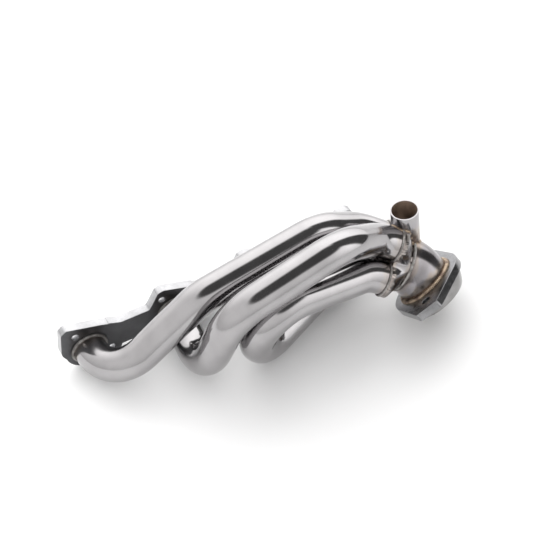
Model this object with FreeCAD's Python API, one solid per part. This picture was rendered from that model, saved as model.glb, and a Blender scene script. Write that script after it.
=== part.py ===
import FreeCAD, Part
import math
import os

# Short tubular exhaust manifold for one bank of a four-port cylinder head.
# Frame: origin at the centre of port 1 on the gasket face, +X along the head
# flange towards the collector, -Y outwards from the head, +Z up. Millimetres.

V = FreeCAD.Vector
os.makedirs("parts", exist_ok=True)

# ---------------------------------------------------------------- dimensions
tube_od = 38.1            # primary tube outside diameter
tube_wall = 1.65          # primary tube wall
pipe_od = 63.5            # outlet pipe outside diameter
pipe_wall = 1.65          # outlet pipe and collector outlet wall
stub_od = 31.75           # side stub outside diameter
stub_wall = 1.5           # side stub wall
fit_gap = 0.15            # radial clearance of a tube in its bore

flange_t = 10.0           # head flange thickness
port_pitch = 105.0        # spacing of the four ports along the flange
port_count = 4
port_land_r = 28.0        # flange outline radius round each port
tube_seat = 8.0           # depth a primary tube enters the head flange
bolt_d = 8.5              # head flange bolt holes
ear_x, ear_z = -13.2, 27.0        # upper bolt hole from its port centre
end_ear_x = 13.2          # extra upper hole at the collector end, from port 4
low_x, low_z = 26.0, -15.5        # lower bolt hole from its port centre
low_ear_r = 12.5          # outline radius round a lower bolt hole
web_half = 19.0           # half height of the flange between ports

port_bead = 3.8           # leg of the weld bead round a tube at the flange

coll_at = V(328.4, -98.8, 51.8)   # centre of the collector inlet face
coll_dir = V(0.78, -0.473, -0.408)
coll_roll = 38.0          # turn of the two-by-two tube pattern about the axis
neck_len = 2.8            # round neck at the collector's outlet
coll_len = 22.0           # inlet face to outlet seam
socket_len = 6.0          # straight part of each tube socket
socket_wall = 1.5
saddle_r = 6.0            # hollow radius between neighbouring lobes
lobe_wall = 1.2           # wall of the merging part at its lobes
tube_grid = 40.0          # centre spacing of the tubes at the collector
inlet_bead = 2.6          # leg of the weld beads at the inlet face
seam_bead_w = 2.5         # half width of the outlet seam bead
seam_bead_h = 2.2         # height of the outlet seam bead

out_dir = V(0.419, -0.656, -0.628)
elbow_in = 11.8           # seam to the elbow corner
elbow_out = 22.6          # elbow corner to the outlet flange weld
elbow_r = 38.0            # elbow centreline radius

oflange_t = 9.5           # outlet flange thickness
oflange_gap = 3.0         # weld centre to the upper face of the outlet flange
pipe_seat = 7.0           # depth the outlet pipe enters its flange
oflange_r = 45.0          # round middle of the outlet flange
obolt_r = 48.0            # bolt hole to the outlet axis
obolt_d = 11.0
oend_r = 67.0             # outlet axis to the cut end of the flange
oend_half = 14.0          # half width of the cut end
oflange_turn = 20.0       # turn of the bolt line about the outlet axis
obead = 5.0               # leg of the weld bead on the outlet flange

ball_r = 40.5             # sphere radius of the ball seat
ball_c = 5.0             # sphere centre beyond the weld centre
ball_end = 30.0           # rim of the ball seat beyond the weld centre
ball_bore = 27.5          # bore radius of the ball seat
ball_bead = 2.5           # leg of the weld bead behind the ball seat

stub_at = V(360.0, -99.4, 41.4)   # foot of the stub axis, inside the collector
stub_dir = V(-0.088, 0.092, 0.992)
stub_len = 70.0           # foot to open top
stub_bead = 3.0

tube_r = tube_od / 2.0
tube_ri = tube_r - tube_wall
pipe_r = pipe_od / 2.0
pipe_ri = pipe_r - pipe_wall
stub_r = stub_od / 2.0
stub_ri = stub_r - stub_wall

# Centreline corners of each primary tube between its port and its socket,
# with the bend radius used at every corner (the last corner lies on the
# socket axis, at the given distance before the inlet face).
routes = {
    1: ([V(0, -67.1, 0), V(114.3, -64.8, 75.4), V(262.4, -64.7, 102.5)],
        [51.0, 57.0, 57.0, 50.0], 36.6, (-1, -1)),
    2: ([V(105, -30.8, 0), V(94.6, -102.2, -2.2), V(125.7, -117.6, 94.6),
         V(257.4, -115.6, 128.9)],
        [45.0, 45.0, 57.0, 57.0, 42.0], 21.7, (-1, 1)),
    3: ([V(210, -45.9, 0), V(247.3, -59.2, 54.2)],
        [36.0, 42.0, 42.0], 32.5, (1, -1)),
    4: ([V(315, -52.4, 0), V(276.5, -61.6, -3.0), V(171.5, -102.4, -10.6),
         V(134.4, -124.8, 60.6), V(201.3, -117.2, 72.0)],
        [44.0, 30.0, 40.0, 40.0, 57.0, 42.0], 18.0, (1, 1)),
}


# ------------------------------------------------------------------ helpers
def unit(v):
    return v * (1.0 / v.Length)


def path_pieces(points, radii):
    """Straight runs and tangent arcs through a list of corner points."""
    pieces = []
    start = points[0]
    for i in range(1, len(points) - 1):
        a = unit(points[i - 1] - points[i])
        b = unit(points[i + 1] - points[i])
        turn = math.pi - a.getAngle(b)
        r = radii[i - 1]
        t = r * math.tan(turn / 2.0)
        s, e = points[i] + a * t, points[i] + b * t
        c = points[i] + unit(a + b) * (r / math.cos(turn / 2.0))
        pieces.append(("line", start, s))
        pieces.append(("arc", s, a * -1.0, c, unit(b.cross(a)), math.degrees(turn)))
        start = e
    pieces.append(("line", start, points[-1]))
    return pieces


def straights(pieces):
    return ["%.1f" % (p[2] - p[1]).Length for p in pieces if p[0] == "line"]


def rod(pieces, r):
    """Round bar of radius r along straight runs and arcs."""
    solids = []
    for p in pieces:
        if p[0] == "line":
            d = p[2] - p[1]
            solids.append(Part.makeCylinder(r, d.Length, p[1], d))
        else:
            disc = Part.Face(Part.Wire([Part.makeCircle(r, p[1], p[2])]))
            solids.append(disc.revolve(p[3], p[4], p[5]))
    return solids[0].multiFuse(solids[1:]) if len(solids) > 1 else solids[0]


def hollow(pieces, r_out, r_in):
    return rod(pieces, r_out).cut(rod(pieces, r_in))


def ring(base, axis, profile):
    """Turn a closed (radius, height) outline about an axis through base."""
    axis = unit(axis)
    side = unit(axis.cross(V(0, 0, 1) if abs(axis.z) < 0.9 else V(1, 0, 0)))
    edges = []
    at = lambda q: base + side * q[0] + axis * q[1]
    for seg in profile:
        if len(seg) == 2:
            edges.append(Part.LineSegment(at(seg[0]), at(seg[1])).toShape())
        else:
            edges.append(Part.Arc(at(seg[0]), at(seg[1]), at(seg[2])).toShape())
    return Part.Face(Part.Wire(edges)).revolve(base, axis, 360.0)


def bead(base, axis, r, leg):
    """Fillet weld bead: sits on the plane at base, round a bar of radius r."""
    k = leg * 0.62
    return ring(base, axis, [((r, 0), (r + leg, 0)),
                             ((r + leg, 0), (r + k, k), (r, leg)),
                             ((r, leg), (r, 0))])


def outline_face(points, radii):
    """Flat face from a closed outline with rounded corners."""
    n = len(points)
    edges, first, last = [], None, None
    for i in range(n):
        p, a, b = points[i], unit(points[i - 1] - points[i]), unit(points[(i + 1) % n] - points[i])
        turn = math.pi - a.getAngle(b)
        r = radii[i]
        if r <= 0 or turn < 1e-3:
            s = e = p
        else:
            t = r * math.tan(turn / 2.0)
            s, e = p + a * t, p + b * t
            c = p + unit(a + b) * (r / math.cos(turn / 2.0))
            m = c + unit(p - c) * r
        if last is not None and (s - last).Length > 1e-6:
            edges.append(Part.LineSegment(last, s).toShape())
        if first is None:
            first = s
        if (e - s).Length > 1e-6:
            edges.append(Part.Arc(s, m, e).toShape())
        last = e
    edges.append(Part.LineSegment(last, first).toShape())
    return Part.Face(Part.Wire(edges))


def save(name, shape):
    """Write one sub-component after checking that it is one sound solid."""
    if shape.ShapeType != "Solid":
        solids = shape.Solids
        assert len(solids) == 1, "%s has %d solids" % (name, len(solids))
        shape = solids[0]
    assert shape.isValid() and shape.Volume > 1.0, name
    shape.exportStep("parts/%s.step" % name)
    print("%-24s %10.1f mm3" % (name, shape.Volume))


# ------------------------------------------------------------ derived frames
cd = unit(coll_dir)
lift = unit(V(0, 0, 1) - cd * cd.z)
side = unit(lift.cross(cd))
if side.y > 0:
    side = side * -1.0
roll = math.radians(coll_roll)
ea = side * math.sin(roll) - lift * math.cos(roll)
eb = side * math.cos(roll) + lift * math.sin(roll)
seam = coll_at + cd * coll_len
od = unit(out_dir)
corner = seam + cd * elbow_in
weld_c = corner + od * elbow_out
half = tube_grid / 2.0

ports = [V(port_pitch * i, 0, 0) for i in range(port_count)]
front = V(0, -flange_t, 0)
out_y = V(0, -1, 0)


def socket_centre(signs, s=0.0):
    return coll_at + ea * (half * signs[0]) + eb * (half * signs[1]) + cd * s


# ------------------------------------------------------------- head flange
# Outline in the XZ plane, clockwise from the lower left of port 1. Each port
# has a round land, an upper ear to the left and a lower ear to the right.
def at_xz(x, z, y=0.0):
    return V(x, y, z)


plate = None
for i, p in enumerate(ports):
    x = p.x
    land = Part.makeCylinder(port_land_r, flange_t, V(x, 0, 0), out_y)
    low = Part.makeCylinder(low_ear_r, flange_t, V(x + low_x, 0, low_z), out_y)
    left = -32.5 if i == 0 else -30.0
    if i == 0:
        top = [(-32.5, 5.0), (-28.5, 38.4), (-21.8, 43.0), (18.3, 29.0),
               (28.0, 24.6), (28.0, 0.0), (0.0, -20.0), (-20.0, -19.0)]
        rad = [18.0, 5.0, 5.0, 12.0, 0, 0, 0, 12.0]
    else:
        top = [(-42.0, 18.5), (-29.5, 18.5), (-24.5, 26.5), (-17.3, 39.6), (-9.8, 41.2),
               (23.6, 28.5), (28.0, 26.4), (28.0, 0.0), (0.0, -20.0), (-42.0, -10.0)]
        rad = [0, 5.0, 2.0, 5.0, 6.0, 10.0, 0, 0, 0, 0]
    if i == port_count - 1:
        top[5:8] = [(2.0, 36.0), (9.8, 41.2), (21.8, 43.0), (28.5, 38.4), (32.5, 5.0), (30.0, -10.0)]
        rad[5:8] = [6.0, 6.0, 5.0, 5.0, 10.0, 0]
    ear = outline_face([V(x + a, 0, b) for a, b in top], rad).extrude(out_y * flange_t)
    parts = [land, low, ear]
    # fill between the round land and the lower ear
    ux, uz = low_x, low_z
    ang = math.atan2(uz, ux)
    d = math.hypot(ux, uz)
    off = math.asin((port_land_r - low_ear_r) / d)
    nrm = ang - math.pi / 2.0 + off
    a1 = V(x + port_land_r * math.cos(nrm), 0, port_land_r * math.sin(nrm))
    a2 = V(x + ux + low_ear_r * math.cos(nrm), 0, uz + low_ear_r * math.sin(nrm))
    wedge = Part.Face(Part.makePolygon([V(x, 0, 0), a1, a2, V(x + ux, 0, uz),
                                        V(x + ux + 10.0, 0, 10.0), V(x, 0, 12.0), V(x, 0, 0)]))
    parts.append(wedge.extrude(out_y * flange_t))
    if i < port_count - 1:
        web = outline_face([V(x + 20.0, 0, -web_half + 1), V(x + port_pitch - 18.0, 0, -web_half + 1),
                            V(x + port_pitch - 18.0, 0, 18.5), V(x + 41.0, 0, 19.5),
                            V(x + 27.0, 0, 26.0), V(x + 20.0, 0, 20.0)],
                           [0, 0, 0, 14.0, 0, 0])
        parts.append(web.extrude(out_y * flange_t))
    for s in parts:
        plate = s if plate is None else plate.fuse(s)
plate = plate.removeSplitter()
for p in ports:
    for dx, dz in ((ear_x, ear_z), (low_x, low_z)):
        plate = plate.cut(Part.makeCylinder(bolt_d / 2.0, flange_t + 2, V(p.x + dx, 1, dz), out_y))
    if p is ports[-1]:
        plate = plate.cut(Part.makeCylinder(bolt_d / 2.0, flange_t + 2,
                                            V(p.x + end_ear_x, 1, ear_z), out_y))
    bore = Part.makeCylinder(tube_ri, flange_t + 2, V(p.x, 1, 0), out_y)
    seat = Part.makeCylinder(tube_r + fit_gap, tube_seat + 1,
                             V(p.x, -flange_t + tube_seat, 0), out_y)
    plate = plate.cut(bore).cut(seat)
save("head_flange", plate)

# ----------------------------------------------------------- primary tubes
bars = {}
for n, (mid, radii, lead, signs) in routes.items():
    p = ports[n - 1]
    start = p + V(0, -flange_t + tube_seat, 0)
    end = socket_centre(signs, socket_len - 0.5)
    pts = [start] + mid + [socket_centre(signs, -lead), end]
    pieces = path_pieces(pts, radii)
    print("route", n, "straight runs", straights(pieces))
    bars[n] = rod(pieces, tube_r)
    save("primary_tube_%d" % n, bars[n].cut(rod(pieces, tube_ri)))
    save("port_weld_%d" % n, bead(p + front, out_y, tube_r + 0.02, port_bead))

# --------------------------------------------------------------- collector
sock_r = tube_r + fit_gap + socket_wall
corners = [(-1, -1), (-1, 1), (1, -1), (1, 1)]


def on_face(s, x, y):
    """Point on the collector: s along its axis, x and y in the tube pattern."""
    return coll_at + cd * s + ea * x + eb * y


reach = half + math.sqrt((sock_r + saddle_r) ** 2 - half ** 2)   # saddle arc centre
lean = math.atan2(half, reach - half)                            # tangent direction


def four_lobes(s, r, rf):
    """Closed outline round the four tubes: lobe arcs joined by hollow saddles."""
    edges = []
    for q in range(4):
        turn = math.radians(90.0 * q)

        def at(x, y):
            return on_face(s, x * math.cos(turn) - y * math.sin(turn),
                           x * math.sin(turn) + y * math.cos(turn))

        tip = (half + r * math.cos(lean), half - r * math.sin(lean))
        edges.append(Part.Arc(at(tip[0], -tip[1]), at(reach - rf, 0), at(*tip)).toShape())
        edges.append(Part.Arc(at(*tip), at(half + r * math.sqrt(0.5), half + r * math.sqrt(0.5)),
                              at(tip[1], tip[0])).toShape())
    return Part.Wire(edges)


def eight_arcs(s, r):
    """Circle cut into the same eight arcs as the lobed outline."""
    w = math.atan2(half - sock_r * math.sin(lean), half + sock_r * math.cos(lean))
    edges = []
    for q in range(4):
        t = math.radians(90.0 * q)
        p = [on_face(s, r * math.cos(t + k), r * math.sin(t + k))
             for k in (-w, 0.0, w, math.pi / 4.0, math.pi / 2.0 - w)]
        edges.append(Part.Arc(p[0], p[1], p[2]).toShape())
        edges.append(Part.Arc(p[2], p[3], p[4]).toShape())
    return Part.Wire(edges)


def merge_cone(grow):
    """Ruled transition from the four lobes to the round outlet."""
    return Part.makeLoft([four_lobes(socket_len, sock_r + grow, saddle_r - grow),
                          eight_arcs(coll_len - neck_len,
                                     pipe_r + (grow if grow > 0 else -pipe_wall if grow else 0))],
                         True, True)


inlet_block = Part.Face(four_lobes(0.0, sock_r, saddle_r)).extrude(cd * socket_len)
neck_at = seam - cd * neck_len
coll_outer = inlet_block.fuse(merge_cone(0.0)).fuse(Part.makeCylinder(pipe_r, neck_len, neck_at, cd))
collector = coll_outer.cut(merge_cone(-lobe_wall))
collector = collector.cut(Part.makeCylinder(pipe_ri, neck_len + 2.0, neck_at - cd, cd))
for sg in corners:
    collector = collector.cut(Part.makeCylinder(tube_r + fit_gap, socket_len + 1.2,
                                                socket_centre(sg, -1.0), cd))

elbow_path = path_pieces([seam, corner, weld_c + od * (oflange_gap + pipe_seat)], [elbow_r])
elbow_outer = rod(elbow_path, pipe_r)
elbow = elbow_outer.cut(rod(elbow_path, pipe_ri))

# side stub standing on the collector; its bore opens the merged part only
sd = unit(stub_dir)
stub_bore = Part.makeCylinder(stub_ri, stub_len, stub_at, sd)
past = Part.makeCylinder(90.0, 90.0, coll_at + cd * (socket_len + 2.0), cd)
collector = collector.cut(stub_bore.common(past))
elbow = elbow.cut(stub_bore)
save("collector", collector)
save("outlet_elbow", elbow)

stub_solid = Part.makeCylinder(stub_r, stub_len, stub_at, sd)
collar = Part.makeCylinder(stub_r + stub_bead, stub_len - 15.0, stub_at, sd)


def biggest(shape):
    return max(shape.Solids, key=lambda s: s.Volume)


# inlet beads, each kept to its own quarter of the inlet face
inlet_beads = None
for n, (mid, radii, lead, signs) in routes.items():
    b = bead(socket_centre(signs), cd * -1.0, tube_r + 0.02, inlet_bead)
    box = Part.makeBox(tube_grid + 20, tube_grid + 20, 12)
    box.translate(V(0.06, 0.06, -6))
    a, c = ea * signs[0], eb * signs[1]
    up = a.cross(c)
    q = FreeCAD.Matrix(a.x, c.x, up.x, coll_at.x, a.y, c.y, up.y, coll_at.y,
                       a.z, c.z, up.z, coll_at.z, 0, 0, 0, 1)
    b = biggest(b.common(box.transformGeometry(q)).cut(collar))
    inlet_beads = b if inlet_beads is None else inlet_beads.fuse(b)
    save("inlet_weld_%d" % n, b)

# outlet seam bead, stub coped over the collector and upper tubes, stub bead
seam_bead = ring(seam, cd, [((pipe_r, 0), (pipe_r, seam_bead_w)),
                            ((pipe_r, seam_bead_w), (pipe_r + seam_bead_h, 0),
                             (pipe_r, -seam_bead_w)),
                            ((pipe_r, -seam_bead_w), (pipe_r, 0))])
seam_bead = seam_bead.cut(collar)
host = coll_outer.fuse(elbow_outer).fuse(bars[1]).fuse(bars[2])
stub = stub_solid.cut(stub_bore).cut(host)
grown = merge_cone(stub_bead).fuse(Part.makeCylinder(pipe_r + stub_bead, neck_len + seam_bead_w, neck_at, cd))
stub_weld = collar.common(grown).cut(host).cut(stub_solid)
save("seam_weld", biggest(seam_bead))
save("stub_pipe", biggest(stub))
save("stub_weld", biggest(stub_weld))

# ----------------------------------------------------------- outlet flange
ref = unit(V(-0.229, -0.80, 0.555))
ref = unit(ref - od * ref.dot(od))
sidev = unit(od.cross(ref))
tr = math.radians(oflange_turn)
lv = ref * math.cos(tr) + sidev * math.sin(tr)
wv = unit(od.cross(lv))
top_c = weld_c + od * oflange_gap
pts = []
for s in (1, -1):
    gam = math.acos((oflange_r) / math.hypot(oend_r, oend_half))
    base_ang = math.atan2(oend_half, oend_r)
    t_ang = gam + base_ang
    pts += [(s * oflange_r * math.cos(t_ang), -s * oflange_r * math.sin(t_ang)),
            (s * oend_r, -s * oend_half), (s * oend_r, s * oend_half),
            (s * oflange_r * math.cos(t_ang), s * oflange_r * math.sin(t_ang))]
pl = [top_c + lv * a + wv * b for a, b in pts]
oplate = outline_face(pl, [0, 4.0, 4.0, 0, 0, 4.0, 4.0, 0]).extrude(od * oflange_t)
oplate = oplate.fuse(Part.makeCylinder(oflange_r, oflange_t, top_c, od)).removeSplitter()
oplate = oplate.cut(Part.makeCylinder(pipe_r + fit_gap, pipe_seat + 1, top_c - od, od))
oplate = oplate.cut(Part.makeCylinder(pipe_ri, oflange_t + 2, top_c - od, od))
for s in (1, -1):
    oplate = oplate.cut(Part.makeCylinder(obolt_d / 2.0, oflange_t + 2,
                                          top_c + lv * (obolt_r * s) - od, od))
save("outlet_flange", oplate)
save("outlet_flange_weld", bead(top_c, od * -1.0, pipe_r + 0.02, obead))

# --------------------------------------------------------------- ball seat
h0 = oflange_gap + oflange_t
rs = lambda h: math.sqrt(ball_r ** 2 - (h - ball_c) ** 2)
hm = (h0 + ball_end) / 2.0
seat = ring(weld_c, od, [((ball_bore, h0), (rs(h0), h0)),
                         ((rs(h0), h0), (rs(hm), hm), (rs(ball_end), ball_end)),
                         ((rs(ball_end), ball_end), (ball_bore, ball_end)),
                         ((ball_bore, ball_end), (ball_bore, h0))])
save("ball_seat", seat)
k = ball_bead
b0, b1 = (rs(h0) + k, h0), (rs(h0 + k), h0 + k)
bm = (rs(h0) + k * 0.6, h0 + k * 0.6)
seat_bead = ring(weld_c, od, [((rs(h0), h0), b0), (b0, bm, b1),
                              (b1, (rs(h0 + k / 2.0), h0 + k / 2.0), (rs(h0), h0))])
save("ball_seat_weld", seat_bead)
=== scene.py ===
import math

import bpy
from mathutils import Matrix, Vector
from mathutils.bvhtree import BVHTree


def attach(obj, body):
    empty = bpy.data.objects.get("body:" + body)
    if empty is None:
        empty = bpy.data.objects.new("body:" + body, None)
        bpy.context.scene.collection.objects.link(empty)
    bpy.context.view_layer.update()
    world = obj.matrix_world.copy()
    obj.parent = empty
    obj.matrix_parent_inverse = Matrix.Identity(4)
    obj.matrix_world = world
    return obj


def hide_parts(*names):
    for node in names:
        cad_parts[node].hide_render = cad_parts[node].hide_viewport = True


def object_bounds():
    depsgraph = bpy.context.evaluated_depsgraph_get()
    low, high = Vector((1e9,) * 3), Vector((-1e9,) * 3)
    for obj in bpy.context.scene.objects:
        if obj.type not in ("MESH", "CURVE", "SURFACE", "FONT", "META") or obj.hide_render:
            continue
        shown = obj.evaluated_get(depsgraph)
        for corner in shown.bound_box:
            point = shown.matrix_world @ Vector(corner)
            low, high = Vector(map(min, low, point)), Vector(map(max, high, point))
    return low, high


bl_info = {
    "name": "Exhaust manifold finish",
    "version": (1, 0, 0),
    "blender": (4, 5, 0),
    "location": "3D View > Sidebar > Manifold",
    "description": "Polished tubes, flanges, collector and weld beads of an exhaust manifold",
    "category": "Add Mesh",
}

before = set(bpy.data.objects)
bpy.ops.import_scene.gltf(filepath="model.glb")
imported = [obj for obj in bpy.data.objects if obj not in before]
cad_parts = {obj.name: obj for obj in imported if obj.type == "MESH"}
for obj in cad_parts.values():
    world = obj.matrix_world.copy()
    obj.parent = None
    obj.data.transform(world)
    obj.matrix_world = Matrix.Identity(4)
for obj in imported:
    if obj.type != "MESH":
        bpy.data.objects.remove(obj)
CAD_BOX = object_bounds()


def mm(x, y, z):
    """A place or a direction written in millimetres, in metres."""
    return Vector((x, y, z)) * 0.001


# ------------------------------------------------------------ fixed geometry
# The sizes and corner points of the CAD solids that the pieces stand for.
FLANGE_THICKNESS = 0.010
TUBE_SEAT = 0.008
PORTS = [mm(105.0 * i, 0, 0) for i in range(4)]
COLLECTOR_AT = mm(328.4, -98.8, 51.8)
COLLECTOR_AXIS = Vector((0.78, -0.473, -0.408)).normalized()
COLLECTOR_ROLL = math.radians(38.0)
COLLECTOR_LENGTH = 0.022
SOCKET_LENGTH = 0.006
TUBE_GRID = 0.040
OUTLET_AXIS = Vector((0.419, -0.656, -0.628)).normalized()
ELBOW_RADIUS = 0.038
SEAM_AT = COLLECTOR_AT + COLLECTOR_AXIS * COLLECTOR_LENGTH
ELBOW_CORNER = SEAM_AT + COLLECTOR_AXIS * 0.0118
OUTLET_WELD_AT = ELBOW_CORNER + OUTLET_AXIS * 0.0226
OUTLET_FLANGE_GAP = 0.003
PIPE_SEAT = 0.007
OUTLET_FLANGE_THICKNESS = 0.0095
STUB_FOOT = mm(360.0, -99.4, 41.4)
STUB_AXIS = Vector((-0.088, 0.092, 0.992)).normalized()
STUB_LENGTH = 0.070
BALL_RADIUS = 0.0405
BALL_CENTRE = OUTLET_WELD_AT + OUTLET_AXIS * 0.005
BALL_SEAT_DEPTH = 0.0075
PIPE_WALL = 0.00165
STUB_WELD_HEIGHT = 0.030

# Half the leg of each weld: how far the middle of a bead stands off the corner.
PORT_BEAD = 0.0013
SOCKET_BEAD = 0.0009
OUTLET_BEAD = 0.0017
SEAM_BEAD = 0.0003

# Heat tint between the straw and the clean steel.
LILAC = (0.36, 0.345, 0.365)

# Each primary tube: corner points between its port and the collector, the
# bend radius at every corner, the distance of the last corner before the
# collector, and which of the four sockets it enters.
TUBE_ROUTES = {
    1: ([mm(0, -67.1, 0), mm(114.3, -64.8, 75.4), mm(262.4, -64.7, 102.5)],
        (51.0, 57.0, 57.0, 50.0), 0.0366, (-1, -1)),
    2: ([mm(105, -30.8, 0), mm(94.6, -102.2, -2.2), mm(125.7, -117.6, 94.6), mm(257.4, -115.6, 128.9)],
        (45.0, 45.0, 57.0, 57.0, 42.0), 0.0217, (-1, 1)),
    3: ([mm(210, -45.9, 0), mm(247.3, -59.2, 54.2)],
        (36.0, 42.0, 42.0), 0.0325, (1, -1)),
    4: ([mm(315, -52.4, 0), mm(276.5, -61.6, -3.0), mm(171.5, -102.4, -10.6), mm(134.4, -124.8, 60.6),
         mm(201.3, -117.2, 72.0)],
        (44.0, 30.0, 40.0, 40.0, 57.0, 42.0), 0.0180, (1, 1)),
}

# Studio: where the lamp hangs, where the camera stands, and which way the
# unlit ceiling, the doorway, its side edges and the bright wall lie.
FLOOR_SIZE = 12.0
LAMP_AT = (-0.1, 0.35, 1.5)
LAMP_AIM = Vector((0.2, -0.05, 0.0))
LAMP_SIZE = (3.2, 2.8)
CAMERA_AT = (-0.1924, -0.7555, 1.0093)
CAMERA_TURN = (math.radians(40), 0, math.radians(-30))
CAMERA_SENSOR = 36.0
CEILING = (0.0757, -0.2824, 0.9563)
DOORWAY = (0.992, -0.122, 0.0)
DOORWAY_ACROSS = (0.122, 0.992, 0.0)
BRIGHT_WALL = (0.85, 0.50, 0.15)


def collector_frame():
    """The two directions along which the tubes are paired at the collector."""
    lift = (Vector((0, 0, 1)) - COLLECTOR_AXIS * COLLECTOR_AXIS.z).normalized()
    side = lift.cross(COLLECTOR_AXIS).normalized()
    if side.y > 0:
        side = -side
    first = side * math.sin(COLLECTOR_ROLL) - lift * math.cos(COLLECTOR_ROLL)
    second = side * math.cos(COLLECTOR_ROLL) + lift * math.sin(COLLECTOR_ROLL)
    return first, second


PAIR_A, PAIR_B = collector_frame()


def socket_centre(signs, along=0.0):
    """Centre of one of the four tube sockets, at a distance along the collector."""
    return (COLLECTOR_AT + PAIR_A * (TUBE_GRID / 2 * signs[0]) + PAIR_B * (TUBE_GRID / 2 * signs[1])
            + COLLECTOR_AXIS * along)


# ------------------------------------------------------------------- settings
class ManifoldSizes(bpy.types.PropertyGroup):
    """Sizes that a user may want to change."""
    tube_diameter: bpy.props.FloatProperty(
        name="Tube diameter", description="Outside diameter of the four primary tubes",
        default=0.0381, min=0.03, max=0.0395, unit='LENGTH')
    tube_wall: bpy.props.FloatProperty(
        name="Tube wall", description="Wall thickness of the primary tubes",
        default=0.00165, min=0.0008, max=0.003, unit='LENGTH')
    outlet_diameter: bpy.props.FloatProperty(
        name="Outlet diameter", description="Outside diameter of the outlet pipe",
        default=0.0635, min=0.05, max=0.0635, unit='LENGTH')
    stub_diameter: bpy.props.FloatProperty(
        name="Stub diameter", description="Outside diameter of the side stub",
        default=0.03175, min=0.02, max=0.03175, unit='LENGTH')
    edge_break: bpy.props.FloatProperty(
        name="Edge break", description="Width of the small bevel on the plate edges",
        default=0.0006, min=0.0001, max=0.0015, unit='LENGTH')
    ripple_pitch: bpy.props.FloatProperty(
        name="Ripple pitch", description="Distance between neighbouring weld ripples",
        default=0.0021, min=0.001, max=0.004, unit='LENGTH')
    tube_sides: bpy.props.IntProperty(
        name="Tube sides", description="Number of sides round a tube", default=96, min=24, max=128)


class ManifoldFinish(bpy.types.PropertyGroup):
    """Colours and gloss of the metal."""
    polished: bpy.props.FloatVectorProperty(
        name="Polished steel", description="Colour of the polished stainless tube",
        default=(0.39, 0.38, 0.385), subtype='COLOR', size=3, min=0, max=1)
    straw: bpy.props.FloatVectorProperty(
        name="Straw tint", description="Heat tint furthest from a weld",
        default=(0.40, 0.335, 0.27), subtype='COLOR', size=3, min=0, max=1)
    bronze: bpy.props.FloatVectorProperty(
        name="Bronze tint", description="Heat tint close to a weld",
        default=(0.21, 0.15, 0.115), subtype='COLOR', size=3, min=0, max=1)
    # Flange face colour: darkened as painted shade, standing for the dark that the flat faces reflect; the
    # cut edges keep the plain steel grey.
    plate: bpy.props.FloatVectorProperty(
        name="Plate face", description="Colour of the flange faces",
        default=(0.125, 0.125, 0.13), subtype='COLOR', size=3, min=0, max=1)
    plate_edge: bpy.props.FloatVectorProperty(
        name="Plate edge", description="Colour of the cut edges of the flanges",
        default=(0.46, 0.46, 0.47), subtype='COLOR', size=3, min=0, max=1)
    bore: bpy.props.FloatVectorProperty(
        name="Bore", description="Colour of the inside of the tubes",
        default=(0.42, 0.34, 0.28), subtype='COLOR', size=3, min=0, max=1)
    polish_roughness: bpy.props.FloatProperty(
        name="Polish roughness", description="Roughness of the polished tube", default=0.13,
        min=0.02, max=0.6, subtype='FACTOR')


class StudioSettings(bpy.types.PropertyGroup):
    """Floor, light and camera."""
    floor_colour: bpy.props.FloatVectorProperty(
        name="Floor", description="Colour of the floor sheet", default=(0.82, 0.82, 0.822),
        subtype='COLOR', size=3, min=0, max=1)
    surround: bpy.props.FloatProperty(
        name="Surround", description="Brightness of the white surround", default=2.35, min=0, max=5)
    room: bpy.props.FloatProperty(
        name="Room", description="Brightness of the unlit ceiling and doorway", default=0.11,
        min=0, max=1)
    overhead_power: bpy.props.FloatProperty(
        name="Overhead light", description="Power of the overhead softbox in watts", default=30.0,
        min=0, max=500)
    camera_lens: bpy.props.FloatProperty(
        name="Lens", description="Focal length of the camera in millimetres", default=73.64,
        min=20, max=200)


# ---------------------------------------------------------------- mesh making
def clear_selection():
    """Leave edit mode and select nothing."""
    if bpy.context.mode != 'OBJECT':
        bpy.ops.object.mode_set(mode='OBJECT')
    bpy.ops.object.select_all(action='DESELECT')


def pick(piece):
    """Make the piece the only selected and the active one."""
    clear_selection()
    piece.select_set(True)
    bpy.context.view_layer.objects.active = piece


def settle(piece):
    """Put the object's place into its mesh, so that it sits at the origin."""
    pick(piece)
    bpy.ops.object.transform_apply(location=True, rotation=True, scale=True)


def finish_modifier(piece, kind, **settings):
    """Add a modifier, set it and apply it."""
    pick(piece)
    modifier = piece.modifiers.new(kind.title(), kind)
    for key, value in settings.items():
        setattr(modifier, key, value)
    bpy.ops.object.modifier_apply(modifier=modifier.name)


def smooth(piece, degrees=35.0):
    """Shade smooth, with edges sharper than the angle kept crisp."""
    pick(piece)
    bpy.ops.object.shade_smooth_by_angle(angle=math.radians(degrees))


def runs_and_bends(corners, radii):
    """Straight runs and tangent bends through a list of corner points."""
    steps = []
    start = corners[0]
    for i in range(1, len(corners) - 1):
        back = (corners[i - 1] - corners[i]).normalized()
        onward = (corners[i + 1] - corners[i]).normalized()
        turn = math.pi - back.angle(onward)
        radius = radii[i - 1]
        tangent = radius * math.tan(turn / 2)
        steps.append(("run", start, corners[i] + back * tangent))
        centre = corners[i] + (back + onward).normalized() * (radius / math.cos(turn / 2))
        steps.append(("bend", centre, onward.cross(back).normalized(), turn))
        start = corners[i] + onward * tangent
    steps.append(("run", start, corners[-1]))
    return steps


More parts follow.
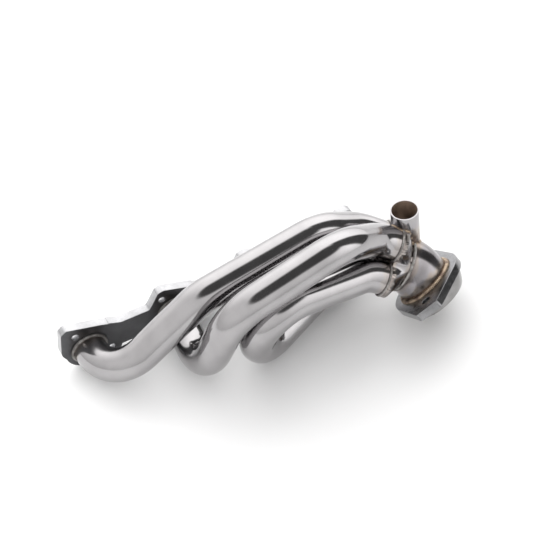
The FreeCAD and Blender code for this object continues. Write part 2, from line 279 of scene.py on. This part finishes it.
def bent_tube(name, corners, radii, outer, wall, sides, lip=0.0003):
    """Sweep a ring along the runs and round the bends, then give it a wall."""
    steps = runs_and_bends(corners, radii)
    heading = (steps[0][2] - steps[0][1]).normalized()
    clear_selection()
    bpy.ops.mesh.primitive_circle_add(vertices=sides, radius=outer, fill_type='NOTHING',
                                      location=corners[0],
                                      rotation=heading.to_track_quat('Z', 'Y').to_euler())
    tube = bpy.context.active_object
    tube.name = name
    settle(tube)
    bpy.ops.object.mode_set(mode='EDIT')
    bpy.ops.mesh.select_all(action='SELECT')
    for step in steps:
        if step[0] == "run":
            bpy.ops.mesh.extrude_region_move(TRANSFORM_OT_translate={"value": step[2] - step[1]})
        else:
            bpy.ops.mesh.spin(steps=max(4, round(math.degrees(step[3]) / 3.0)), dupli=False,
                              angle=-step[3], center=step[1], axis=step[2])
    bpy.ops.mesh.select_all(action='SELECT')
    bpy.ops.mesh.remove_doubles(threshold=1e-6)
    bpy.ops.mesh.normals_make_consistent(inside=False)
    bpy.ops.object.mode_set(mode='OBJECT')
    finish_modifier(tube, 'SOLIDIFY', thickness=wall, offset=-1.0, use_even_offset=True,
                    material_offset=1)
    finish_modifier(tube, 'BEVEL', width=lip, segments=2, limit_method='ANGLE',
                    angle_limit=math.radians(60))
    smooth(tube)
    return tube


def plate_from_node(name, node, edge_break, smooth_angle=35.0):
    """Copy a CAD solid, join its loose triangles and break its sharp edges."""
    piece = bpy.data.objects.new(name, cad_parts[node].data.copy())
    bpy.context.scene.collection.objects.link(piece)
    piece.data.materials.clear()
    pick(piece)
    bpy.ops.object.mode_set(mode='EDIT')
    bpy.ops.mesh.select_all(action='SELECT')
    bpy.ops.mesh.remove_doubles(threshold=2e-6)
    if edge_break:
        bpy.ops.mesh.dissolve_limited(angle_limit=math.radians(0.4))
    bpy.ops.object.mode_set(mode='OBJECT')
    if edge_break:
        finish_modifier(piece, 'BEVEL', width=edge_break, segments=3, limit_method='ANGLE',
                        angle_limit=math.radians(40), use_clamp_overlap=True)
    smooth(piece, smooth_angle)
    return piece


def weld_ripple(across, out, along):
    """One ripple of a weld bead: a flattened, slightly raked drop."""
    clear_selection()
    bpy.ops.mesh.primitive_uv_sphere_add(segments=12, ring_count=7, radius=1.0)
    drop = bpy.context.active_object
    drop.scale = (across, out, along)
    settle(drop)
    mesh = drop.data.copy()
    bpy.data.objects.remove(drop)
    return mesh


def place_ripples(name, ripple, places):
    """Copy the ripple to every place and join the copies into one bead."""
    copies = []
    for centre, across, out in places:
        along = across.cross(out).normalized()
        turn = Matrix((across, out, along)).transposed().to_4x4()
        rake = Matrix.Rotation(math.radians(16), 4, 'X')
        mesh = ripple.copy()
        mesh.transform(Matrix.Translation(centre) @ turn @ rake)
        copy = bpy.data.objects.new(name, mesh)
        bpy.context.scene.collection.objects.link(copy)
        copies.append(copy)
    clear_selection()
    for copy in copies:
        copy.select_set(True)
    bpy.context.view_layer.objects.active = copies[0]
    bpy.ops.object.join()
    bead = copies[0]
    bead.name = name
    pick(bead)
    bpy.ops.object.shade_smooth()
    return bead


def ring_places(centre, axis, radius, pitch, lean, keep=None):
    """Places round a ring; lean 0 faces outwards, 1 leans halfway to the axis."""
    axis = axis.normalized()
    side = axis.orthogonal().normalized()
    other = axis.cross(side)
    count = round(2 * math.pi * radius / pitch)
    places = []
    for i in range(count):
        angle = 2 * math.pi * i / count
        radial = side * math.cos(angle) + other * math.sin(angle)
        out = (radial + axis * lean).normalized()
        across = (axis - radial * lean).normalized()
        at = centre + radial * radius
        if keep is None or keep(at):
            places.append((at, across, out))
    return places


# ------------------------------------------------------------------ materials
class NodeSheet:
    """Short calls for laying out one material's nodes."""

    def __init__(self, name):
        self.material = bpy.data.materials.get(name) or bpy.data.materials.new(name)
        self.material.use_nodes = True
        self.tree = self.material.node_tree
        self.tree.nodes.clear()
        self.place = self.add("ShaderNodeTexCoord").outputs["Object"]
        self.shader = self.add("ShaderNodeBsdfPrincipled")
        out = self.add("ShaderNodeOutputMaterial")
        self.link(self.shader.outputs["BSDF"], out.inputs["Surface"])

    def add(self, kind, **settings):
        node = self.tree.nodes.new(kind)
        for key, value in settings.items():
            setattr(node, key, value)
        return node

    def link(self, source, socket):
        self.tree.links.new(source, socket)

    def feed(self, socket, value):
        if isinstance(value, bpy.types.NodeSocket):
            self.link(value, socket)
        else:
            socket.default_value = value

    def maths(self, operation, a, b=0.0):
        node = self.add("ShaderNodeMath", operation=operation)
        self.feed(node.inputs[0], a)
        self.feed(node.inputs[1], b)
        return node.outputs[0]

    def vector(self, operation, a, b=(0, 0, 0)):
        node = self.add("ShaderNodeVectorMath", operation=operation)
        self.feed(node.inputs[0], a)
        self.feed(node.inputs[1], b)
        return node

    def stretch(self, value, low, high, to_low=0.0, to_high=1.0):
        node = self.add("ShaderNodeMapRange", clamp=True)
        self.feed(node.inputs["Value"], value)
        for key, number in (("From Min", low), ("From Max", high), ("To Min", to_low), ("To Max", to_high)):
            node.inputs[key].default_value = number
        return node.outputs[0]

    def noise(self, scale, detail=2.0, squash=(1, 1, 1)):
        mapping = self.add("ShaderNodeMapping")
        mapping.inputs["Scale"].default_value = squash
        self.link(self.place, mapping.inputs["Vector"])
        node = self.add("ShaderNodeTexNoise")
        node.inputs["Scale"].default_value = scale
        node.inputs["Detail"].default_value = detail
        self.link(mapping.outputs[0], node.inputs["Vector"])
        return node.outputs["Fac"]

    def ramp(self, value, stops):
        node = self.add("ShaderNodeValToRGB")
        node.color_ramp.interpolation = 'EASE'
        elements = node.color_ramp.elements
        while len(elements) < len(stops):
            elements.new(0.5)
        for element, (position, colour) in zip(elements, stops):
            element.position = position
            element.color = (*colour, 1.0)
        self.link(value, node.inputs[0])
        return node.outputs[0]

    def mix(self, factor, a, b, blend='MIX'):
        node = self.add("ShaderNodeMix", data_type='RGBA', blend_type=blend)
        self.feed(node.inputs[0], factor)
        for socket, value in ((node.inputs[6], a), (node.inputs[7], b)):
            self.feed(socket, value if isinstance(value, bpy.types.NodeSocket) else (*value, 1.0))
        return node.outputs[2]

    def bump(self, height, distance, strength=1.0, under=None):
        node = self.add("ShaderNodeBump")
        node.inputs["Strength"].default_value = strength
        node.inputs["Distance"].default_value = distance
        self.link(height, node.inputs["Height"])
        if under is not None:
            self.link(under, node.inputs["Normal"])
        return node.outputs[0]


def ring_distance(sheet, centre, axis, radius):
    """Distance from a point of the surface to a weld ring."""
    offset = sheet.vector('SUBTRACT', sheet.place, tuple(centre)).outputs[0]
    along = sheet.vector('DOT_PRODUCT', offset, tuple(axis)).outputs["Value"]
    length = sheet.vector('LENGTH', offset).outputs["Value"]
    square = sheet.maths('SUBTRACT', sheet.maths('MULTIPLY', length, length),
                         sheet.maths('MULTIPLY', along, along))
    radial = sheet.maths('SUBTRACT', sheet.maths('SQRT', sheet.maths('MAXIMUM', square, 0.0)), radius)
    return sheet.maths('SQRT', sheet.maths('ADD', sheet.maths('MULTIPLY', along, along),
                                           sheet.maths('MULTIPLY', radial, radial)))


def polished_steel(name, finish, welds=(), roughness=None, colour=None):
    """Polished stainless with polishing haze and heat tint round its welds.

    Every weld is (centre, axis, radius, reach, strength)."""
    sheet = NodeSheet(name)
    base = colour or tuple(finish.polished)
    rough = finish.polish_roughness if roughness is None else roughness
    cloud = sheet.noise(38.0, 3.0)
    tone = sheet.ramp(cloud, ((0.3, tuple(c * 0.93 for c in base)),
                              (0.7, tuple(min(1, c * 1.04) for c in base))))
    haze = sheet.noise(900.0, 2.0)
    gloss = sheet.maths('ADD', sheet.stretch(cloud, 0.3, 0.7, rough * 0.8, rough * 1.25),
                        sheet.stretch(haze, 0.3, 0.7, -0.02, 0.02))
    for centre, axis, radius, reach, strength in welds:
        distance = ring_distance(sheet, centre, axis, radius)
        wander = sheet.stretch(sheet.noise(120.0, 2.0), 0.2, 0.8, -0.18, 0.18)
        heat = sheet.maths('ADD', sheet.maths('DIVIDE', distance, reach), wander)
        tint = sheet.ramp(heat, ((0.10, tuple(finish.bronze)), (0.38, tuple(finish.straw)),
                                 (0.62, LILAC), (1.0, base)))
        fade = sheet.stretch(heat, 0.15, 1.0, strength, 0.0)
        tone = sheet.mix(fade, tone, tint)
        gloss = sheet.maths('ADD', gloss, sheet.stretch(heat, 0.0, 0.8, 0.12 * strength, 0.0))
    sheet.link(tone, sheet.shader.inputs["Base Color"])
    sheet.link(gloss, sheet.shader.inputs["Roughness"])
    sheet.shader.inputs["Metallic"].default_value = 1.0
    wave = sheet.bump(sheet.noise(26.0, 1.0), 0.0006, 0.22)
    grain = sheet.bump(haze, 0.00002, 0.25, wave)
    sheet.link(grain, sheet.shader.inputs["Normal"])
    return sheet.material


def plate_steel(name, colour, roughness, grain=(1, 1, 1), grain_scale=700.0, depth=0.00005):
    """Ground or cut plate with a fine grain and faint stains."""
    sheet = NodeSheet(name)
    stain = sheet.noise(45.0, 4.0)
    line = sheet.noise(grain_scale, 2.0, grain)
    tone = sheet.ramp(stain, ((0.3, tuple(c * 0.85 for c in colour)),
                              (0.7, tuple(min(1, c * 1.1) for c in colour))))
    tone = sheet.mix(0.25, tone, sheet.ramp(line, ((0.35, (0.55, 0.55, 0.55)), (0.65, (1.0, 1.0, 1.0)))),
                     'MULTIPLY')
    gloss = sheet.maths('ADD', sheet.stretch(stain, 0.3, 0.7, roughness * 0.85, roughness * 1.15),
                        sheet.stretch(line, 0.3, 0.7, -0.04, 0.04))
    sheet.link(tone, sheet.shader.inputs["Base Color"])
    sheet.link(gloss, sheet.shader.inputs["Roughness"])
    sheet.shader.inputs["Metallic"].default_value = 1.0
    sheet.link(sheet.bump(line, depth, 0.5), sheet.shader.inputs["Normal"])
    return sheet.material


def weld_steel(name, colour, dark, roughness):
    """Weld metal: bright crests, tinted in patches."""
    sheet = NodeSheet(name)
    patch = sheet.noise(150.0, 2.0)
    fine = sheet.noise(1500.0, 2.0)
    tone = sheet.ramp(patch, ((0.32, dark), (0.62, colour)))
    gloss = sheet.stretch(fine, 0.3, 0.7, roughness * 0.8, roughness * 1.3)
    sheet.link(tone, sheet.shader.inputs["Base Color"])
    sheet.link(gloss, sheet.shader.inputs["Roughness"])
    sheet.shader.inputs["Metallic"].default_value = 1.0
    sheet.link(sheet.bump(fine, 0.00003, 0.4), sheet.shader.inputs["Normal"])
    return sheet.material


def dress(piece, slot, nodes, *materials):
    """Give the piece its materials and its body, and hide the nodes it stands for. The slot is not used."""
    piece.data.materials.clear()
    for material in materials:
        piece.data.materials.append(material)
    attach(piece, "root")
    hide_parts(*nodes)


def paint_edges(piece, axis, index=1, limit=0.94):
    """Give the faces that don't look along the axis the second material."""
    for face in piece.data.polygons:
        face.material_index = 0 if abs(face.normal.dot(axis)) > limit else index


def paint_bore(piece, foot, axis, index=1):
    """Give the faces that look towards an axis the bore's material."""
    for face in piece.data.polygons:
        offset = face.center - foot
        radial = offset - axis * offset.dot(axis)
        if radial.length > 1e-6 and face.normal.dot(radial.normalized()) < -0.5:
            face.material_index = index


# ------------------------------------------------------------------ operators
class MANIFOLD_OT_primary_tubes(bpy.types.Operator):
    """Bend the four primary tubes from their ports to the collector"""
    bl_idname = "manifold.primary_tubes"
    bl_label = "Primary tubes"

    def execute(self, context):
        sizes, finish = context.scene.manifold_sizes, context.scene.manifold_finish
        bore = plate_steel("tube_bore", tuple(finish.bore), 0.42)
        for number, (middle, radii, lead, signs) in TUBE_ROUTES.items():
            port = PORTS[number - 1]
            corners = [port + Vector((0, TUBE_SEAT - FLANGE_THICKNESS, 0)), *middle,
                       socket_centre(signs, -lead), socket_centre(signs, SOCKET_LENGTH - 0.0005)]
            tube = bent_tube(f"tube_{number}_polished", corners, [r * 0.001 for r in radii],
                             sizes.tube_diameter / 2, sizes.tube_wall, sizes.tube_sides)
            skin = polished_steel(
                f"polished_tube_{number}", finish,
                ((port + Vector((0, -FLANGE_THICKNESS, 0)), Vector((0, -1, 0)), sizes.tube_diameter / 2,
                  0.020, 0.55),
                 (socket_centre(signs), COLLECTOR_AXIS, sizes.tube_diameter / 2, 0.018, 0.30)))
            dress(tube, "tube", [f"primary_tube_{number}"], skin, bore)
        return {'FINISHED'}


class MANIFOLD_OT_head_flange(bpy.types.Operator):
    """Finish the plate that bolts to the cylinder head"""
    bl_idname = "manifold.head_flange"
    bl_label = "Head flange"

    def execute(self, context):
        sizes, finish = context.scene.manifold_sizes, context.scene.manifold_finish
        plate = plate_from_node("head_flange_plate", "head_flange", sizes.edge_break)
        # The face material is the painted shade of the flat faces; the edge material is plain cut steel.
        dress(plate, "flange", ["head_flange"],
              plate_steel("flange_face_painted_shade", tuple(finish.plate), 0.40, (1, 1, 8), 500.0),
              plate_steel("flange_edge", tuple(finish.plate_edge), 0.24, (1, 9, 1), 350.0, 0.0001))
        paint_edges(plate, Vector((0, 1, 0)))
        return {'FINISHED'}


class MANIFOLD_OT_collector(bpy.types.Operator):
    """Build the four-into-one collector and the elbow below it"""
    bl_idname = "manifold.collector"
    bl_label = "Collector and elbow"

    def execute(self, context):
        sizes, finish = context.scene.manifold_sizes, context.scene.manifold_finish
        pipe = sizes.outlet_diameter / 2
        bore = plate_steel("pipe_bore", tuple(finish.bore), 0.42)
        seam = (SEAM_AT, COLLECTOR_AXIS, pipe, 0.014, 0.45)
        outlet = (OUTLET_WELD_AT + OUTLET_AXIS * OUTLET_FLANGE_GAP, OUTLET_AXIS, pipe, 0.024, 0.8)
        foot = (STUB_FOOT + STUB_AXIS * STUB_WELD_HEIGHT, STUB_AXIS, sizes.stub_diameter / 2, 0.022, 0.45)
        sockets = tuple((socket_centre(signs), COLLECTOR_AXIS, sizes.tube_diameter / 2, 0.012, 0.5)
                        for _, _, _, signs in TUBE_ROUTES.values())
        lobes = plate_from_node("collector_lobes", "collector", 0.0, 28.0)
        dress(lobes, "tinted_tube", ["collector"],
              polished_steel("tinted_collector", finish, sockets + (seam, foot), 0.17), bore)
        elbow = bent_tube("outlet_elbow_pipe",
                          [SEAM_AT, ELBOW_CORNER,
                           OUTLET_WELD_AT + OUTLET_AXIS * (OUTLET_FLANGE_GAP + PIPE_SEAT)],
                          [ELBOW_RADIUS], pipe, PIPE_WALL, sizes.tube_sides)
        dress(elbow, "tinted_tube", ["outlet_elbow"],
              polished_steel("tinted_elbow", finish, (seam, foot, outlet), 0.17, (0.24, 0.228, 0.235)), bore)
        return {'FINISHED'}


class MANIFOLD_OT_side_stub(bpy.types.Operator):
    """Finish the small open stub that stands on the collector"""
    bl_idname = "manifold.side_stub"
    bl_label = "Side stub"

    def execute(self, context):
        sizes, finish = context.scene.manifold_sizes, context.scene.manifold_finish
        stub = plate_from_node("side_stub_pipe", "stub_pipe", 0.0003)
        foot = (STUB_FOOT + STUB_AXIS * STUB_WELD_HEIGHT, STUB_AXIS, sizes.stub_diameter / 2, 0.042, 0.85)
        dress(stub, "tinted_tube", ["stub_pipe"],
              polished_steel("polished_stub", finish, (foot,), 0.16),
              plate_steel("stub_bore", tuple(c * 1.35 for c in finish.bore), 0.5, (1, 1, 6), 400.0))
        paint_bore(stub, STUB_FOOT, STUB_AXIS)
        return {'FINISHED'}


class MANIFOLD_OT_outlet(bpy.types.Operator):
    """Finish the two-bolt outlet flange and the ball seat under it"""
    bl_idname = "manifold.outlet"
    bl_label = "Outlet flange and ball seat"

    def execute(self, context):
        sizes, finish = context.scene.manifold_sizes, context.scene.manifold_finish
        plate = plate_from_node("outlet_flange_plate", "outlet_flange", sizes.edge_break * 1.5)
        # The outlet face lifts the painted-shade face colour 2.5 times, to a mid grey.
        dress(plate, "outlet_plate", ["outlet_flange"],
              plate_steel("outlet_plate_face", tuple(c * 2.5 for c in finish.plate), 0.30,
                          (1, 1, 1), 300.0),
              plate_steel("outlet_plate_edge", tuple(c * 0.6 for c in finish.plate_edge), 0.24,
                          (1, 1, 1), 200.0))
        paint_edges(plate, OUTLET_AXIS)
        ball = plate_from_node("ball_seat_turned", "ball_seat", 0.0006)
        dress(ball, "cast", ["ball_seat"],
              plate_steel("turned_steel", (0.31, 0.305, 0.30), 0.24, (1, 1, 1), 120.0),
              plate_steel("ball_bore", tuple(finish.bore), 0.42))
        paint_bore(ball, BALL_CENTRE, OUTLET_AXIS)
        return {'FINISHED'}


class MANIFOLD_OT_weld_beads(bpy.types.Operator):
    """Lay the rippled weld beads on every joint"""
    bl_idname = "manifold.weld_beads"
    bl_label = "Weld beads"

    def execute(self, context):
        sizes, finish = context.scene.manifold_sizes, context.scene.manifold_finish
        tube, pipe, pitch = sizes.tube_diameter / 2, sizes.outlet_diameter / 2, sizes.ripple_pitch
        silver = weld_steel("weld_silver", (0.40, 0.385, 0.37), (0.22, 0.205, 0.195), 0.27)
        bronze = weld_steel("weld_bronze", (0.38, 0.30, 0.22), (0.16, 0.115, 0.09), 0.27)

        # Port beads: weld metal darkened as painted shade, for the shaded corner where each tube meets the
        # flange face; the rougher finish is the weld's own.
        painted_shade_weld = weld_steel("weld_painted_shade", (0.26, 0.25, 0.24), (0.15, 0.14, 0.135), 0.34)
        fillet = weld_ripple(0.0023, 0.0011, pitch * 0.95)
        for number, port in enumerate(PORTS, 1):
            front = port + Vector((0, -FLANGE_THICKNESS - PORT_BEAD, 0))
            bead = place_ripples(f"port_{number}_bead", fillet,
                                 ring_places(front, Vector((0, -1, 0)), tube + PORT_BEAD, pitch, 1.0))
            dress(bead, "weld", [f"port_weld_{number}"], painted_shade_weld)

        small = weld_ripple(0.0015, 0.0008, pitch * 0.9)
        for number, (_, _, _, signs) in TUBE_ROUTES.items():
            def own_quarter(at, signs=signs):
                offset = at - COLLECTOR_AT
                return (offset.dot(PAIR_A) * signs[0] > SOCKET_BEAD
                        and offset.dot(PAIR_B) * signs[1] > SOCKET_BEAD)
            bead = place_ripples(f"socket_{number}_bead", small,
                                 ring_places(socket_centre(signs, -0.0008), -COLLECTOR_AXIS,
                                             tube + SOCKET_BEAD, pitch, 0.9, own_quarter))
            dress(bead, "weld", [f"inlet_weld_{number}"], silver)

        butt = weld_ripple(0.0021, 0.0010, pitch * 0.95)
        bead = place_ripples("seam_bead", butt,
                             ring_places(SEAM_AT, COLLECTOR_AXIS, pipe + SEAM_BEAD, pitch, 0.0))
        dress(bead, "weld", ["seam_weld"], silver)

        large = weld_ripple(0.0032, 0.0018, pitch)
        foot = OUTLET_WELD_AT + OUTLET_AXIS * (OUTLET_FLANGE_GAP - OUTLET_BEAD)
        bead = place_ripples("outlet_flange_bead", large,
                             ring_places(foot, -OUTLET_AXIS, pipe + OUTLET_BEAD, pitch, 1.0))
        dress(bead, "weld", ["outlet_flange_weld"], bronze)

        under = OUTLET_WELD_AT + OUTLET_AXIS * (OUTLET_FLANGE_GAP + OUTLET_FLANGE_THICKNESS + SOCKET_BEAD)
        seat_radius = math.sqrt(BALL_RADIUS ** 2 - BALL_SEAT_DEPTH ** 2)
        bead = place_ripples("ball_seat_bead", small,
                             ring_places(under, OUTLET_AXIS, seat_radius + SOCKET_BEAD, pitch, 0.9))
        dress(bead, "weld", ["ball_seat_weld"], bronze)

        bead = place_ripples("stub_bead", small, self.stub_foot_places(sizes))
        dress(bead, "weld", ["stub_weld"], bronze)
        return {'FINISHED'}

    def stub_foot_places(self, sizes):
        """Drop a point down the stub's side onto what it stands on, all round."""
        hosts = []
        for node in ("collector", "outlet_elbow", "primary_tube_1", "primary_tube_2"):
            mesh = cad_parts[node].data
            hosts.append(BVHTree.FromPolygons([v.co for v in mesh.vertices],
                                              [p.vertices for p in mesh.polygons]))
        side = STUB_AXIS.orthogonal().normalized()
        other = STUB_AXIS.cross(side)
        radius = sizes.stub_diameter / 2 + 0.0005
        count = 96
        places = []
        for i in range(count):
            angle = 2 * math.pi * i / count
            radial = side * math.cos(angle) + other * math.sin(angle)
            top = STUB_FOOT + STUB_AXIS * STUB_LENGTH + radial * radius
            best = None
            for tree in hosts:
                at, normal, _, distance = tree.ray_cast(top, -STUB_AXIS, STUB_LENGTH)
                if at is not None and (best is None or distance < best[2]):
                    best = (at, normal, distance)
            if best is None:
                continue
            out = (radial + best[1]).normalized()
            tangent = STUB_AXIS.cross(radial)
            across = tangent.cross(out).normalized()
            places.append((best[0], across, out))
        return places


class MANIFOLD_OT_studio(bpy.types.Operator):
    """Set the floor, the soft light and the camera"""
    bl_idname = "manifold.studio"
    bl_label = "Studio"

    def execute(self, context):
        studio = context.scene.manifold_studio
        self.lay_floor(studio)
        self.light_surround(context, studio)
        self.hang_softbox(studio)
        self.set_camera(context, studio)
        context.scene.view_settings.view_transform = 'Standard'
        return {'FINISHED'}

    def lay_floor(self, studio):
        clear_selection()
        bpy.ops.mesh.primitive_plane_add(size=FLOOR_SIZE, location=(0.2, -0.1, CAD_BOX[0][2] - 0.0004))
        floor = bpy.context.active_object
        floor.name = "floor"
        settle(floor)
        sheet = NodeSheet("floor_paper")
        tone = tuple(studio.floor_colour)
        sheet.link(sheet.ramp(sheet.noise(3.0), ((0.3, tuple(c * 0.995 for c in tone)), (0.7, tone))),
                   sheet.shader.inputs["Base Color"])
        sheet.shader.inputs["Roughness"].default_value = 0.7
        sheet.shader.inputs["Specular IOR Level"].default_value = 0.2
        floor.data.materials.append(sheet.material)

    def light_surround(self, context, studio):
        """White walls all round, with an unlit ceiling and one dark doorway."""
        world = bpy.data.worlds.get("World") or bpy.data.worlds.new("World")
        context.scene.world = world
        world.use_nodes = True
        tree = world.node_tree
        tree.nodes.clear()
        out = tree.nodes.new("ShaderNodeOutputWorld")
        glow = tree.nodes.new("ShaderNodeBackground")
        tree.links.new(glow.outputs[0], out.inputs[0])
        place = tree.nodes.new("ShaderNodeTexCoord").outputs["Generated"]

        def band(direction, low, high, to_low, to_high):
            dot = tree.nodes.new("ShaderNodeVectorMath")
            dot.operation = 'DOT_PRODUCT'
            dot.inputs[1].default_value = direction
            tree.links.new(place, dot.inputs[0])
            spread = tree.nodes.new("ShaderNodeMapRange")
            spread.interpolation_type = 'SMOOTHSTEP'
            tree.links.new(dot.outputs["Value"], spread.inputs["Value"])
            for key, number in (("From Min", low), ("From Max", high),
                                ("To Min", to_low), ("To Max", to_high)):
                spread.inputs[key].default_value = number
            return spread.outputs[0]

        def times(a, b):
            node = tree.nodes.new("ShaderNodeMath")
            node.operation = 'MULTIPLY'
            tree.links.new(a, node.inputs[0])
            tree.links.new(b, node.inputs[1])
            return node.outputs[0]

        def over(a, b):
            node = tree.nodes.new("ShaderNodeMath")
            node.operation = 'MAXIMUM'
            tree.links.new(a, node.inputs[0])
            tree.links.new(b, node.inputs[1])
            return node.outputs[0]

        ceiling = band(CEILING, 0.82, 0.92, 0.0, 1.0)
        doorway = times(band(DOORWAY, 0.10, 0.35, 0.0, 1.0),
                        times(band(DOORWAY_ACROSS, -0.38, -0.28, 0.0, 1.0),
                              band(DOORWAY_ACROSS, 0.28, 0.38, 1.0, 0.0)))
        dark = over(ceiling, doorway)
        walls = band(BRIGHT_WALL, -0.4, 0.75, 0.50, 1.0)
        lit = times(walls, band((0, 0, 1), -0.05, 0.45, 0.76, 1.0))
        glow_mix = tree.nodes.new("ShaderNodeMix")
        tree.links.new(dark, glow_mix.inputs[0])
        scale = tree.nodes.new("ShaderNodeMath")
        scale.operation = 'MULTIPLY'
        tree.links.new(lit, scale.inputs[0])
        scale.inputs[1].default_value = studio.surround
        tree.links.new(scale.outputs[0], glow_mix.inputs[2])
        glow_mix.inputs[3].default_value = studio.room
        tree.links.new(glow_mix.outputs[0], glow.inputs["Strength"])
        glow.inputs["Color"].default_value = (1.0, 0.995, 0.99, 1.0)

    def hang_softbox(self, studio):
        light = bpy.data.lights.new("overhead_softbox", 'AREA')
        light.shape = 'RECTANGLE'
        light.size, light.size_y = LAMP_SIZE
        light.energy = studio.overhead_power
        lamp = bpy.data.objects.new("overhead_softbox", light)
        bpy.context.scene.collection.objects.link(lamp)
        lamp.location = LAMP_AT
        lamp.visible_glossy = False
        aim = LAMP_AIM - lamp.location
        lamp.rotation_euler = aim.to_track_quat('-Z', 'Y').to_euler()

    def set_camera(self, context, studio):
        data = bpy.data.cameras.new("camera")
        data.lens = studio.camera_lens
        data.sensor_width = CAMERA_SENSOR
        camera = bpy.data.objects.new("camera", data)
        context.scene.collection.objects.link(camera)
        camera.location = CAMERA_AT
        camera.rotation_euler = CAMERA_TURN
        context.scene.camera = camera


class MANIFOLD_PT_panel(bpy.types.Panel):
    """Buttons for every group of pieces"""
    bl_idname = "MANIFOLD_PT_panel"
    bl_label = "Exhaust manifold"
    bl_space_type = 'VIEW_3D'
    bl_region_type = 'UI'
    bl_category = "Manifold"

    def draw(self, context):
        layout = self.layout
        for operator in OPERATORS:
            layout.operator(operator.bl_idname)
        for group in (context.scene.manifold_sizes, context.scene.manifold_finish,
                      context.scene.manifold_studio):
            box = layout.box()
            for key in group.__annotations__:
                box.prop(group, key)


SETTINGS = {"manifold_sizes": ManifoldSizes, "manifold_finish": ManifoldFinish,
            "manifold_studio": StudioSettings}
OPERATORS = (MANIFOLD_OT_studio, MANIFOLD_OT_head_flange, MANIFOLD_OT_primary_tubes,
             MANIFOLD_OT_collector, MANIFOLD_OT_side_stub, MANIFOLD_OT_outlet, MANIFOLD_OT_weld_beads)


def register():
    for group in SETTINGS.values():
        bpy.utils.register_class(group)
    for operator in OPERATORS:
        bpy.utils.register_class(operator)
    bpy.utils.register_class(MANIFOLD_PT_panel)
    for name, group in SETTINGS.items():
        setattr(bpy.types.Scene, name, bpy.props.PointerProperty(type=group))


def unregister():
    for name in SETTINGS:
        delattr(bpy.types.Scene, name)
    bpy.utils.unregister_class(MANIFOLD_PT_panel)
    for operator in reversed(OPERATORS):
        bpy.utils.unregister_class(operator)
    for group in reversed(SETTINGS.values()):
        bpy.utils.unregister_class(group)


def main():
    register()
    for operator in OPERATORS:
        group, action = operator.bl_idname.split(".")
        getattr(getattr(bpy.ops, group), action)()


if __name__ == "__main__":
    main()
